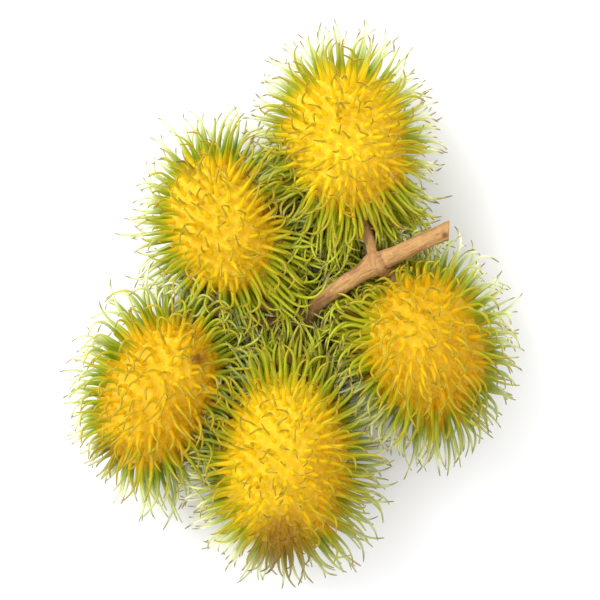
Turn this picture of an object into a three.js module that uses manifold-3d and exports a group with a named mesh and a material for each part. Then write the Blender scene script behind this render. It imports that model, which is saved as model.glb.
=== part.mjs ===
// A picked bunch of five rambutans on one woody twig, lying on a table.
// Millimetres, +Z up. The origin is on the table, under the middle of the bunch.
// Each fruit is one solid: an ellipsoid rind with soft spines that grow out of it. The twig is one solid too.

import * as THREE from "three";
import { ConvexHull } from "three/addons/math/ConvexHull.js";
import { mergeVertices } from "three/addons/utils/BufferGeometryUtils.js";
import Module from "manifold-3d";

const at = (x, y, z) => new THREE.Vector3(x, y, z);
const UP = at(0, 0, 1);

// ---- Driving dimensions ----

// x, y: the middle of the fruit on the table. half: half its length and half its width.
// stem: the way its stem end points, seen from above, and how far that end tips up, in degrees.
// comb: how far the spines on its upper side are swept over, along x and y.
// curl: the least and the most that a spine turns over its length, in radians. hook: the way most turn.
const FRUITS = [
  {
    name: "fruit_1",
    x: 16.6, y: 52,
    half: [23.2, 18.2],
    stem: [-78, 18],
    comb: [0, -0.35],
    curl: [0.3, 1.1],
    hook: [0, 0],
  },
  {
    name: "fruit_2",
    x: -22, y: 26.2,
    half: [22, 16.6],
    stem: [-68, 4],
    comb: [0, 0.25],
    curl: [0.4, 1.4],
    hook: [-0.2, 0.3],
  },
  {
    name: "fruit_3",
    x: -42, y: -26.8,
    half: [23.8, 17],
    stem: [60, 4],
    comb: [-0.1, 0],
    curl: [0.9, 2],
    hook: [0, -0.9],
  },
  {
    name: "fruit_4",
    x: -2.9, y: -48,
    half: [26.2, 19],
    stem: [87, 0],
    comb: [0, 0],
    curl: [0.3, 1.4],
    hook: [0, 0],
  },
  {
    name: "fruit_5",
    x: 41, y: -11.8,
    half: [23.4, 18.2],
    stem: [114, 22],
    comb: [0.1, -0.35],
    curl: [0.8, 1.9],
    hook: [0, -0.8],
  },
];
const CUSHION = 7.5; // height of each rind above the table, on its pressed spines

const SPINE_COUNT = 150; // on each fruit
const SPINE_LENGTH = 15;
const SHELTERED_GAIN = 0.22; // how much longer the spines that face the middle of the bunch are
const SPINE_FOOT_RADIUS = 1.3;
const SPINE_RADII = [0.95, 0.6]; // at a third and at two thirds of its length; the tip is a point
const SPINE_STEPS = 12; // steps in which a spine is grown; a ring stands at every fourth
const STEPS_A_RING = 4;
const LEAN = 0.15; // the most that a spine leans off square to the rind, each way
const DROOP = 0.25; // how much a curling spine turns down as well
const BARE_CAP = 4.6; // radius round the stem end that bears no spine
const CAP_RING = { corners: 6, radius: 2.85 }; // the corners that give that cap its shape

const SPINE_GAP = 0.3; // between a spine and anything else
const PRESSED_SHARE = 0.2; // height of a pressed spine's axis above the table, in its own radii

const TWIG_SIDES = 10;
const STALK_SIDES = 8;
const STALK_RADIUS = 1.75;
const STALK_RUN_IN = 3.6; // the last of a stalk, square to the stem end that it meets
const COLLAR_LENGTH = 1.5;
const COLLAR_RADIUS = 2.9; // the flared end of a stalk, against its fruit
const COLLAR_GAP = 0.35; // between the collar and the rind

// The twig's axis from its cut end to the hub, and its radius there.
const TWIG_ROUTE = [
  [48.6, 23.9, 43.5, 2.95],
  [45.4, 22.6, 43.2, 2.75],
  [39.6, 20.1, 42.5, 2.7],
  [33.4, 17.1, 41.7, 2.75],
  [29.0, 15.2, 41.0, 3.05],
  [25.4, 13.5, 40.4, 3.9],
  [21.4, 11.0, 39.6, 2.95],
  [15.6, 7.2, 37.6, 2.65],
  [10.2, 3.6, 33.4, 2.5],
  [6.4, 0.4, 27.0, 2.5],
  [4.0, -2.8, 22.4, 3.1],
  [2.8, -6.0, 20.6, 2.0],
];
const CUT_SLANT = -0.45; // how far the cut end slopes, as rise over run

// Each fruit's stalk: where it leaves the twig, and the points it passes on its way to the stem end.
const STALKS = [
  { fruit: 0, from: [25.2, 14.0, 40.6], by: [[24.3, 19.2, 39.0], [23.2, 23.4, 36.8]] },
  { fruit: 1, from: [4.8, -1.8, 23.4], by: [[-2.4, -0.6, 24.0]] },
  { fruit: 2, from: [3.8, -3.4, 22.2], by: [[-6.6, -4.4, 22.4], [-15.4, -2.4, 24], [-23, -0.6, 25.6]] },
  { fruit: 3, from: [3.4, -4.2, 21.8], by: [[1.0, -10.4, 23.6]] },
  { fruit: 4, from: [25.8, 13.1, 40.2], by: [[27.2, 11.3, 39.4]] },
];

// ---- Random numbers ----

// Numbers from 0 to 1, always the same for one seed.
function randomFrom(seed) {
  let state = seed;
  return () => {
    state = (state + 0x6d2b79f5) | 0;
    let t = Math.imul(state ^ (state >>> 15), 1 | state);
    t = (t + Math.imul(t ^ (t >>> 7), 61 | t)) ^ t;
    return ((t ^ (t >>> 14)) >>> 0) / 4294967296;
  };
}

// ---- Fruits as ellipsoids ----

// Adds each fruit's centre, its axis towards the stem and the two directions across it.
function placeFruit(fruit) {
  const [heading, rise] = fruit.stem.map(THREE.MathUtils.degToRad);
  const [long, across] = fruit.half;
  const axis = at(Math.cos(heading) * Math.cos(rise), Math.sin(heading) * Math.cos(rise), Math.sin(rise));
  const halfHeight = Math.hypot(long * Math.sin(rise), across * Math.cos(rise));
  const side = UP.clone().cross(axis).normalize();
  return {
    ...fruit,
    axis,
    side,
    other: axis.clone().cross(side),
    centre: at(fruit.x, fruit.y, CUSHION + halfHeight),
  };
}

const fruits = FRUITS.map(placeFruit);

// The point of the rind that a direction on the unit sphere maps to.
function onRind(fruit, unit) {
  const [long, across] = fruit.half;
  return fruit.centre
    .clone()
    .addScaledVector(fruit.axis, long * unit.x)
    .addScaledVector(fruit.side, across * unit.y)
    .addScaledVector(fruit.other, across * unit.z);
}

// How far a point is outside the rind, and the way out of it.
function rindGap(fruit, point) {
  const [long, across] = fruit.half;
  const from = point.clone().sub(fruit.centre);
  const along = from.dot(fruit.axis);
  const slope = from
    .clone()
    .addScaledVector(fruit.axis, -along)
    .multiplyScalar(1 / across ** 2)
    .addScaledVector(fruit.axis, along / long ** 2);
  const level = Math.sqrt(from.dot(slope));
  const steep = slope.length();
  return { gap: ((level - 1) * level) / steep, out: slope.multiplyScalar(1 / steep) };
}

const stemEnd = (fruit) => onRind(fruit, at(1, 0, 0));

// ---- Twig route ----

// A limb is a smooth line of points with a radius at each, two steps from knot to knot.
function limb(knots) {
  const steps = (knots.length - 1) * 2;
  const curve = new THREE.CatmullRomCurve3(
    knots.map((k) => at(k[0], k[1], k[2])),
    false,
    "centripetal",
  );
  const points = curve.getPoints(steps);
  const radii = points.map((_, i) => {
    const [before, after] = [knots[Math.floor(i / 2)], knots[Math.ceil(i / 2)]];
    return (before[3] + after[3]) / 2;
  });
  return { points, radii };
}

// A stalk swells a little before its fruit and ends in a flat collar square to the stem end.
function stalkLimb({ fruit, from, by }) {
  const { axis } = fruits[fruit];
  const end = stemEnd(fruits[fruit]);
  const off = (distance, radius) => [...end.clone().addScaledVector(axis, distance).toArray(), radius];
  return limb([
    ...[from, ...by].map((p) => [...p, STALK_RADIUS]),
    off(STALK_RUN_IN, STALK_RADIUS * 1.1),
    off(COLLAR_GAP + COLLAR_LENGTH, STALK_RADIUS * 1.3),
    off(COLLAR_GAP, COLLAR_RADIUS),
  ]);
}

const mainTwig = limb(TWIG_ROUTE);
const stalks = STALKS.map(stalkLimb);

// Balls along the whole twig, which the spines keep clear of.
const BALL_SPACING = 1.2;
const twigBalls = [mainTwig, ...stalks].flatMap(({ points, radii }) =>
  points.slice(1).flatMap((point, i) => {
    const count = Math.ceil(point.distanceTo(points[i]) / BALL_SPACING);
    return Array.from({ length: count + 1 }, (_, k) => ({
      centre: points[i].clone().lerp(point, k / count),
      radius: THREE.MathUtils.lerp(radii[i], radii[i + 1], k / count),
    }));
  }),
);

// ---- Growing a spine ----

const TURN_ROOM = 4.5; // a spine starts to turn away this far from what is in its way
const TABLE_ROOM = 2.5; // and this far above the table, so that it presses on it
const DODGE = 0.05; // how much it goes on curling as it turns away

// Everything near a point that a spine of this radius has to turn away from.
function inTheWay(point, radius, own) {
  const found = [{ gap: point.z - radius * PRESSED_SHARE, out: UP }];
  for (const fruit of fruits) {
    if (fruit === own || point.distanceTo(fruit.centre) > fruit.half[0] + TURN_ROOM + radius) continue;
    const { gap, out } = rindGap(fruit, point);
    found.push({ gap: gap - radius - SPINE_GAP, out });
  }
  let nearest = null;
  for (const ball of twigBalls) {
    const gap = point.distanceTo(ball.centre) - ball.radius - radius - SPINE_GAP;
    if (gap < TURN_ROOM && (!nearest || gap < nearest.gap)) nearest = { gap, ball };
  }
  if (nearest) found.push({ gap: nearest.gap, out: point.clone().sub(nearest.ball.centre).normalize() });
  return found.filter(({ gap }) => gap < TURN_ROOM);
}

// The radius of a spine at a share of its length.
function radiusAlong(share) {
  const radii = [SPINE_FOOT_RADIUS, ...SPINE_RADII, 0];
  const third = Math.min(Math.floor(share * 3), 2);
  return THREE.MathUtils.lerp(radii[third], radii[third + 1], share * 3 - third);
}

// The axis of one spine. It leaves its foot along start and curls to one side, more and more towards its tip.
function grow(own, foot, start, curlTo, curl, length) {
  const step = length / SPINE_STEPS;
  const points = [foot.clone()];
  const heading = start.clone();
  for (let i = 1; i <= SPINE_STEPS; i++) {
    const t = i / SPINE_STEPS;
    const here = points[i - 1];
    const radius = radiusAlong(t);
    heading.addScaledVector(curlTo, (curl * 2 * t) / SPINE_STEPS).normalize();
    for (const { gap, out } of inTheWay(here, radius, own)) {
      const into = -heading.dot(out);
      if (into <= 0) continue;
      const room = out === UP ? TABLE_ROOM : TURN_ROOM;
      heading.addScaledVector(out, into * Math.max(0, 1 - Math.max(gap, 0) / room));
      heading.addScaledVector(curlTo, DODGE).normalize();
    }
    const next = here.clone().addScaledVector(heading, step);
    for (const { gap, out } of inTheWay(next, radius, own)) {
      if (gap < 0) next.addScaledVector(out, -gap);
    }
    heading.copy(next).sub(here).normalize();
    points.push(here.clone().addScaledVector(heading, step));
  }
  return points.filter((_, i) => i % STEPS_A_RING === 0);
}

// ---- Keeping spines apart ----

const SAMPLE_SPACING = 0.9;
const ROOTED_SHARE = 0.25; // the share of a spine that is too near its own rind to be measured against it
const CELL = 4;
const taken = new Map(); // balls along the spines that are already placed, by grid cell

const cellOf = (v) => v.clone().divideScalar(CELL).floor();
const cellKey = (x, y, z) => `${x},${y},${z}`;

function ballsAlong(points) {
  return points.slice(1).flatMap((point, i) => {
    const count = Math.ceil(point.distanceTo(points[i]) / SAMPLE_SPACING);
    return Array.from({ length: count + 1 }, (_, k) => {
      const share = (i + k / count) / (points.length - 1);
      return { centre: points[i].clone().lerp(point, k / count), radius: radiusAlong(share), share };
    });
  });
}

function take(balls) {
  for (const ball of balls) {
    const key = cellKey(...cellOf(ball.centre));
    if (!taken.has(key)) taken.set(key, []);
    taken.get(key).push(ball);
  }
}

// The balls of other spines in the grid cells round a point.
function takenNear(point) {
  const { x, y, z } = cellOf(point);
  const found = [];
  for (let i = -1; i <= 1; i++) {
    for (let j = -1; j <= 1; j++) {
      for (let k = -1; k <= 1; k++) found.push(...(taken.get(cellKey(x + i, y + j, z + k)) ?? []));
    }
  }
  return found;
}

// The least room between these balls and the spines placed so far, every rind and the twig.
function roomAround(balls, own) {
  let room = Infinity;
  for (const { centre, radius, share } of balls) {
    for (const other of [...takenNear(centre), ...twigBalls]) {
      room = Math.min(room, centre.distanceTo(other.centre) - radius - other.radius);
    }
    for (const fruit of fruits) {
      if (fruit === own && share < ROOTED_SHARE) continue;
      room = Math.min(room, rindGap(fruit, centre).gap - radius);
    }
  }
  return room;
}

// ---- Spines of one fruit ----

const GOLDEN_TURN = Math.PI * (3 - Math.sqrt(5));
const SITE_JITTER = 0.11; // how far a spine may stand off its even place, in spacings
const CURL_CHOICES = [0, 0.6, -0.6, 1.2, -1.2, 2, -2, 2.7, -2.7, Math.PI];
const LENGTH_CHOICES = [1, 0.88, 0.76, 0.64, 0.52, 0.4];
const LEAST_ROOM = 0.05; // a spine with less room than this on every try is left out

// Directions on the unit sphere, evenly spread from the stem end, x = 1, to the blossom end, x = -1.
function spineSites(fruit, random) {
  const apart = Math.sqrt((4 * Math.PI) / SPINE_COUNT);
  const sites = [];
  for (let i = 0; i < SPINE_COUNT; i++) {
    const x = 1 - (2 * (i + 0.5)) / SPINE_COUNT;
    const round = i * GOLDEN_TURN;
    const out = Math.sqrt(1 - x * x);
    const jitter = () => THREE.MathUtils.lerp(-1, 1, random()) * SITE_JITTER * apart;
    const even = at(x, out * Math.cos(round), out * Math.sin(round));
    const unit = even.add(at(jitter(), jitter(), jitter())).normalize();
    if (fruit.half[1] * Math.acos(Math.min(unit.x, 1)) > BARE_CAP) sites.push(unit);
  }
  return sites;
}

// Two directions square to a third and to each other: one level, one pointing down.
function acrossFrom(out) {
  const level = UP.clone().cross(out);
  if (level.lengthSq() === 0) level.set(1, 0, 0);
  level.normalize();
  return [level, level.clone().cross(out)];
}

// The first way of growing a spine that stays clear of everything. Other curls come before shorter spines.
function placeSpine(fruit, foot, random) {
  const { out } = rindGap(fruit, foot);
  const inwards = foot.clone().multiplyScalar(-1).setZ(0).normalize();
  const sheltered = Math.max(0, out.dot(inwards));
  const length = SPINE_LENGTH * (0.88 + 0.24 * random()) * (1 + SHELTERED_GAIN * sheltered);
  const curl = THREE.MathUtils.lerp(...fruit.curl, random());
  const turn = random() * 2 * Math.PI;
  const upward = Math.max(out.z, 0) ** 2;
  const leanBy = () => THREE.MathUtils.lerp(-LEAN, LEAN, random());
  const start = out
    .clone()
    .add(at(leanBy(), leanBy(), leanBy()))
    .add(at(fruit.comb[0] * upward, fruit.comb[1] * upward, 0))
    .normalize();
  const [across, downhill] = acrossFrom(out);
  let best = null;
  for (const share of LENGTH_CHOICES) {
    for (const extra of CURL_CHOICES) {
      const angle = turn + extra;
      const curlTo = across.clone().multiplyScalar(Math.cos(angle));
      curlTo.addScaledVector(downhill, Math.sin(angle));
      curlTo.add(at(...fruit.hook, -DROOP));
      const points = grow(fruit, foot, start, curlTo, curl, length * share);
      const balls = ballsAlong(points);
      const room = roomAround(balls, fruit);
      if (room >= SPINE_GAP) return { points, balls };
      if (!best || room > best.room) best = { points, balls, room };
    }
  }
  return best.room > LEAST_ROOM ? best : null;
}

// ---- Fruit solids ----

function surfaceOf(positions, index) {
  const geometry = new THREE.BufferGeometry().setFromPoints(positions);
  geometry.setIndex(index);
  return geometry;
}

// The corners of a ring round a spine's axis, carried over from the ring before.
function nextRing(corners, from, fromHeading, to, toHeading, radius) {
  const turn = new THREE.Quaternion().setFromUnitVectors(fromHeading, toHeading);
  return corners.map((corner) =>
    corner.clone().sub(from).applyQuaternion(turn).projectOnPlane(toHeading).setLength(radius).add(to),
  );
}

// Directions on the unit sphere in a ring round one of them. radius is in millimetres at the fruit's waist.
function ringRound(fruit, unit, radius, corners, twist) {
  const share = radius / fruit.half[1];
  const [level, down] = acrossFrom(unit);
  return Array.from({ length: corners }, (_, k) => {
    const round = twist + (k * 2 * Math.PI) / corners;
    const outwards = level.clone().multiplyScalar(Math.cos(round)).addScaledVector(down, Math.sin(round));
    return unit.clone().addScaledVector(outwards, share).normalize();
  });
}

// A fruit as one closed surface: the hull of all the spines' feet, each foot's face drawn out into its spine.
function fruitGeometry(fruit, seed) {
  const random = randomFrom(seed);
  const units = [at(1, 0, 0), ...ringRound(fruit, at(1, 0, 0), CAP_RING.radius, CAP_RING.corners, 0)];
  const spines = new Map(); // by the number of its foot's first corner
  for (const unit of spineSites(fruit, random)) {
    const spine = placeSpine(fruit, onRind(fruit, unit), random);
    if (spine) {
      take(spine.balls);
      spines.set(units.length, spine.points);
    }
    units.push(...ringRound(fruit, unit, SPINE_FOOT_RADIUS, 3, random() * Math.PI));
  }

  const positions = units.map((unit) => onRind(fruit, unit));
  const number = new Map(units.map((unit, i) => [unit, i]));
  const index = [];
  let drawnOut = 0;
  for (const face of new ConvexHull().setFromPoints(units).faces) {
    const corners = [];
    let edge = face.edge;
    do {
      corners.push(number.get(edge.head().point));
      edge = edge.next;
    } while (edge !== face.edge);
    const first = Math.min(...corners);
    if (spines.has(first) && corners.every((c) => c < first + 3)) {
      drawOut(corners, spines.get(first), positions, index);
      drawnOut += 1;
    } else {
      index.push(...corners);
    }
  }
  if (drawnOut < spines.size) throw new Error(`${fruit.name} has spines with no foot`);
  return surfaceOf(positions, index);
}

// Draws one foot's face out along its spine, ring by ring, to the point at the tip.
function drawOut(foot, points, positions, index) {
  let ring = foot;
  let corners = foot.map((c) => positions[c]);
  let heading = points[1].clone().sub(points[0]).normalize();
  for (let i = 1; i < points.length - 1; i++) {
    const onward = points[i + 1].clone().sub(points[i - 1]).normalize();
    corners = nextRing(corners, points[i - 1], heading, points[i], onward, SPINE_RADII[i - 1]);
    heading = onward;
    const next = corners.map((_, k) => positions.length + k);
    positions.push(...corners);
    for (let k = 0; k < 3; k++) {
      const l = (k + 1) % 3;
      index.push(ring[k], ring[l], next[l], ring[k], next[l], next[k]);
    }
    ring = next;
  }
  const tip = positions.length;
  positions.push(points.at(-1));
  for (let k = 0; k < 3; k++) index.push(ring[k], ring[(k + 1) % 3], tip);
}

// ---- Twig solid ----

// A closed tube round a limb. startSlant tips the first end face over.
function limbGeometry({ points, radii }, sides, startSlant = 0) {
  const positions = [];
  const index = [];
  let heading = points[1].clone().sub(points[0]).normalize();
  let spoke = UP.clone().projectOnPlane(heading).normalize();
  points.forEach((point, i) => {
    const [before, after] = [points[Math.max(i - 1, 0)], points[Math.min(i + 1, points.length - 1)]];
    const onward = after.clone().sub(before).normalize();
    spoke.applyQuaternion(new THREE.Quaternion().setFromUnitVectors(heading, onward));
    spoke.projectOnPlane(onward).normalize();
    heading = onward;
    const binormal = heading.clone().cross(spoke);
    for (let k = 0; k < sides; k++) {
      const round = (k * 2 * Math.PI) / sides;
      const corner = point
        .clone()
        .addScaledVector(spoke, radii[i] * Math.cos(round))
        .addScaledVector(binormal, radii[i] * Math.sin(round));
      if (i === 0) corner.addScaledVector(heading, startSlant * radii[i] * Math.sin(round));
      positions.push(corner);
    }
  });
  for (let i = 0; i < points.length - 1; i++) {
    for (let k = 0; k < sides; k++) {
      const [a, b] = [i * sides + k, i * sides + ((k + 1) % sides)];
      index.push(a, b, b + sides, a, b + sides, a + sides);
    }
  }
  const last = (points.length - 1) * sides;
  for (let k = 1; k < sides - 1; k++) index.push(0, k + 1, k, last, last + k, last + k + 1);
  return surfaceOf(positions, index);
}

// ---- Solids ----

const MERGE_DISTANCE = 1e-4;
const wasm = await Module();
wasm.setup();

function solidOf(geometry) {
  const merged = mergeVertices(geometry, MERGE_DISTANCE);
  return new wasm.Manifold(
    new wasm.Mesh({
      numProp: 3,
      vertProperties: new Float32Array(merged.getAttribute("position").array),
      triVerts: new Uint32Array(merged.index.array),
    }),
  );
}

function geometryOf(solid) {
  const { vertProperties, triVerts } = solid.getMesh();
  const geometry = new THREE.BufferGeometry();
  geometry.setAttribute("position", new THREE.Float32BufferAttribute(vertProperties, 3));
  geometry.setIndex([...triVerts]);
  return geometry;
}

// The space under the table top. Pressed spines are flattened where they meet it.
const TABLE = { width: 400, depth: 40 };
const table = new THREE.BoxGeometry(TABLE.width, TABLE.width, TABLE.depth);
table.deleteAttribute("normal");
table.deleteAttribute("uv");
table.translate(0, 0, -TABLE.depth / 2);
const underTable = solidOf(table);

const rindMaterial = new THREE.MeshStandardMaterial({ color: 0xe3b81e, roughness: 0.55, metalness: 0 });
const barkMaterial = new THREE.MeshStandardMaterial({ color: 0xc89a68, roughness: 0.85, metalness: 0 });

function fruitMesh(fruit, i) {
  const solid = solidOf(fruitGeometry(fruit, 11 + i)).subtract(underTable);
  const mesh = new THREE.Mesh(geometryOf(solid), rindMaterial);
  mesh.name = fruit.name;
  return mesh;
}

function twigMesh() {
  const solid = stalks.reduce(
    (joined, stalk) => joined.add(solidOf(limbGeometry(stalk, STALK_SIDES))),
    solidOf(limbGeometry(mainTwig, TWIG_SIDES, CUT_SLANT)),
  );
  const mesh = new THREE.Mesh(geometryOf(solid), barkMaterial);
  mesh.name = "twig";
  return mesh;
}

const bunch = new THREE.Group();
bunch.add(...fruits.map(fruitMesh), twigMesh());

export default bunch;
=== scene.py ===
"""A picked bunch of rambutans on its twig: the finished surfaces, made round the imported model.

Growing is worked out in millimetres. Meshes are in metres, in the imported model's frame.
"""

import math

import bmesh
import bpy
import numpy as np
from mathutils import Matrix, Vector, kdtree


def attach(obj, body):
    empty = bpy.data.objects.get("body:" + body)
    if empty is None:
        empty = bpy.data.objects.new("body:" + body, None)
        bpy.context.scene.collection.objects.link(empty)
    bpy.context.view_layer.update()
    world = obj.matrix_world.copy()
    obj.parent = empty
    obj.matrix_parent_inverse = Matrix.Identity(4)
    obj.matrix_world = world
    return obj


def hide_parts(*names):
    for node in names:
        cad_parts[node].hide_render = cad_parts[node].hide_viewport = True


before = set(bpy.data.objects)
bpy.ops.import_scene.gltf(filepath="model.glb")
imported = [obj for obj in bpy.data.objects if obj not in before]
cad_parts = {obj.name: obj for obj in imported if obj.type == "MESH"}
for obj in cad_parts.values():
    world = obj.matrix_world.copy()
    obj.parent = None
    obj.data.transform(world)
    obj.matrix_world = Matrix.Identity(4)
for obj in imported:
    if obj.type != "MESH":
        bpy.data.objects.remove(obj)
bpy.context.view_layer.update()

MM = 0.001
UP = np.array([0.0, 0.0, 1.0])

# ---- Driving dimensions, in millimetres and degrees ----

# middle: on the table. half: half the length and half the width of the rind.
# stem: the way the stem end points, seen from above, and how far that end tips up.
# comb: how far the upper spines are swept over. curl: least and most turn of a spine, in radians.
# hook: the way most of them turn. tips: how much their ends turn, against the usual.
# longer: by how much of their length spines towards +x and +y are longer. stretch: the same for those
# towards both ends along y. tufts: where, as a heading, spines stand out or fall short, and by how much.
# ripe: 0 is lemon yellow and 1 is orange yellow. pale: how much paler its spines are than usual.
FRUITS = {
    "fruit_1": dict(
        middle=(16.6, 52), half=(23.2, 18.2), stem=(-78, 18),
        comb=(0, -0.25), curl=(0, 0.35), hook=(0, 0), tips=0.9,
        longer=(-0.02, 0.05), stretch=0.14, tufts=((185, 0.1), (-78, 0.2)),
        ripe=0.12, pale=0.24,
    ),
    "fruit_2": dict(
        middle=(-22, 26.2), half=(22, 16.6), stem=(-68, 4),
        comb=(0, 0.25), curl=(0.05, 0.6), hook=(-0.2, 0.2), tips=1.3,
        longer=(0.24, 0), stretch=0.06, tufts=((218, 0.6), (110, 0.2)),
        ripe=0.42, pale=-0.05,
    ),
    "fruit_3": dict(
        middle=(-42, -26.8), half=(23.8, 17), stem=(60, 4),
        comb=(-0.1, 0), curl=(0.4, 0.9), hook=(-0.2, -1.1), tips=1.6,
        longer=(0.08, 0), stretch=0.12, tufts=((122, 0.45), (290, 0.2), (238, -0.2)),
        ripe=0.72, pale=-0.05,
    ),
    "fruit_4": dict(
        middle=(-2.9, -48), half=(26.2, 19), stem=(87, 0),
        comb=(0, 0), curl=(0, 0.4), hook=(0, 0), tips=1,
        longer=(0.02, 0.04), stretch=0, tufts=((-20, 0.1), (-62, 0.2), (-95, 0.15)),
        ripe=0.15, pale=0.12,
    ),
    "fruit_5": dict(
        middle=(41, -11.8), half=(23.4, 18.2), stem=(114, 22),
        comb=(0.1, -0.35), curl=(0.3, 0.8), hook=(0, -0.9), tips=1.5,
        longer=(-0.04, 0.04), stretch=0.14, tufts=((45, 0.3), (268, 0.2)),
        ripe=0.72, pale=0.08,
    ),
}
CUSHION = 7.5  # height of each rind above the table, on its pressed spines

SPINE_SPACING = 3.4
SITE_JITTER = 0.26  # how far a spine may stand off its even place, in spacings
SPINE_LENGTH = 15.3
LENGTH_RANGE = (0.84, 1.12)  # the least and the most of it, from spine to spine
UPPER_SHORTER = 0.35  # how much shorter the spines that point straight up are
PAINTED_SHADE_WAY = (0.78, -0.62)  # seen from above, the side of every fruit that is painted darker and deeper ochre, as painted shade
# Gaps among the fruits, full of tangled spines: x, y, how far off shelter is full, how far off it is
# gone, and how much of it there is at most.
GAPS = ((3, 4, 25, 40, 1), (33, 27, 9, 20, 1), (-6, 38, 8, 18, 0.5))
FACING_GAIN = 1.4  # a higher number counts more of a rind as facing its gap
SHELTERED_SLOPE = (0.25, 0.65)  # how steep a spine is that reaches for its gap, and one that doesn't
SHELTERED_GAIN = 0.5  # how much longer the spines that face a gap are
SPINE_FOOT_RADIUS = 1.1
GIRTH_RANGE = (0.84, 1.12)  # the thinnest and the thickest spine
# How a spine thins out: a share of its length, and its radius there in foot radii.
SPINE_PROFILE = (
    (0, 1.2), (0.08, 0.98), (0.2, 0.78), (0.4, 0.57), (0.65, 0.4), (0.85, 0.28), (1, 0.13),
)
SPINE_STEPS = 14
SPINE_SIDES = 7
ROOT_DEPTH = 0.9  # how far a spine starts below the rind
LEAN = 0.13  # the most that a spine leans off square to the rind, each way
DROOP = 0.15  # how much a curling spine turns down as well
TIP_HOOK = (0.1, 1.5)  # turn of the last part of a spine, in radians
HOOK_START = 0.7  # as a share of a spine's length
TIP_HOOK_GAIN = (0.65, 2.0)  # on a fruit's sides, and on its top
SIDE_TO_TOP = (0, 0.8)  # how much a rind faces up there
SHELTERED_SPACING = 3.0  # of a second set of spines that fills the gaps
SHELTERED_LEAST = 0.2  # the least shelter that grows one of them
SHELTERED_TANGLE = 0.8  # how much more the spines in full shelter curl
SHELTERED_PULL = 0.7  # how much they turn towards their gap
GAP_SPREAD = 9  # how far off the gap's middle, each way, the places are that they turn to
GAP_HEIGHTS = (14, 44)  # how high those places are
LONG_SHARE = 0.08  # the share of spines that outgrow the rest
LONG_GAIN = 0.18
# How much of its length a spine that would meet the bare twig may keep.
STUNTED_SHARES = (0.95, 0.85, 0.75, 0.65, 0.55, 0.45)
WOBBLE = (0.02, 0.1)  # how unevenly a spine turns, in the open and in full shelter
CROWN_RINGS = ((4, 15), (6.4, 18))  # spines that close in on each stalk: how far off it, and how many
CROWN_JITTER_OFF = 0.03  # how uneven those rings are, as an angle from the stalk
CROWN_JITTER_ROUND = 0.2  # and round it, in spacings
TUFT_FOCUS = 5  # a higher power makes a tuft narrower
BARE_CAP = 5.2  # radius round the stem end that bears no spine
STEM_GATHER = 0.8  # how much the spines near the stem end close in round the stalk

# Spots seen from above where spines have withered: x, y, how far the spot reaches and how dry it is.
DRY_SPOTS = (
    (-7.8, 30, 3.2, 1),
    (-32, 43, 2.2, 1),
    (-29.7, -16.7, 3.6, 0.9),
    (-4, -70, 9.5, 0.85),
    (-56, -44, 6, 0.5),
)
DRY_FOCUS = 1.5  # a higher number makes a spot's edge sharper
DRY_LOWEST = -0.2  # how much a place may face down and still wither
DRY_SHARE = 0.12  # the share of sheltered spines that are dry
DRY_SHRINK = 0.4  # how much of its length a dry spine loses

SPINE_GAP = 0.1  # between a spine and anything else
PRESSED_SHARE = 0.9  # height of a pressed spine's axis above the table, in its own radii
TURN_ROOM = 4.5  # how near another rind a spine starts to turn away
TWIG_ROOM = 1.5
TABLE_ROOM = 2.5

RIND_CUTS = 63
FLARE_HEIGHT = 1  # how far the rind rises to meet a spine
FLARE_REACH = 2.3  # how far from its axis the rise starts
FLARE_PROFILE = ((0, 1), (0.4, 0.95), (0.62, 0.45), (0.85, 0.08), (1, 0))
PORE_DEPTH = 0.12
PORE_SCALE = 900.0

# The twig's axis from its cut end to the hub, and its radius there.
TWIG_ROUTE = (
    (48.6, 23.9, 43.5, 2.95),
    (45.4, 22.6, 43.2, 2.75),
    (39.6, 20.1, 42.5, 2.7),
    (33.4, 17.1, 41.7, 2.75),
    (29.0, 15.2, 41.0, 3.05),
    (25.4, 13.5, 40.4, 3.9),
    (21.4, 11.0, 39.6, 2.95),
    (15.6, 7.2, 37.6, 2.65),
    (10.2, 3.6, 33.4, 2.5),
    (6.4, 0.4, 27.0, 2.5),
    (4.0, -2.8, 22.4, 3.1),
    (2.8, -6.0, 20.6, 2.0),
)
# Each fruit's stalk: where it leaves the twig, and the points it passes on its way to the stem end.
STALKS = {
    "fruit_1": ((25.2, 14.0, 40.6), (24.3, 19.2, 39.0), (23.2, 23.4, 36.8)),
    "fruit_2": ((4.8, -1.8, 23.4), (-2.4, -0.6, 24.0)),
    "fruit_3": ((3.8, -3.4, 22.2), (-6.6, -4.4, 22.4), (-15.4, -2.4, 24), (-23, -0.6, 25.6)),
    "fruit_4": ((3.4, -4.2, 21.8), (1.0, -10.4, 23.6)),
    "fruit_5": ((25.8, 13.1, 40.2), (27.2, 11.3, 39.4)),
}
STALK_RADIUS = 1.75
STALK_SWELL = (1.1, 1.3)  # where its run-in and its collar start, in stalk radii
STALK_RUN_IN = 3.6
COLLAR_LENGTH = 1.5
COLLAR_RADIUS = 2.9
COLLAR_GAP = 0.1  # between the collar's flat end and the rind
CUT_SLANT = -0.45  # how far the cut end slopes, as rise over run


# ---- Fruits as ellipsoids ----

def unit(vectors):
    """These vectors at length 1."""
    return vectors / np.linalg.norm(vectors, axis=-1, keepdims=True)


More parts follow.
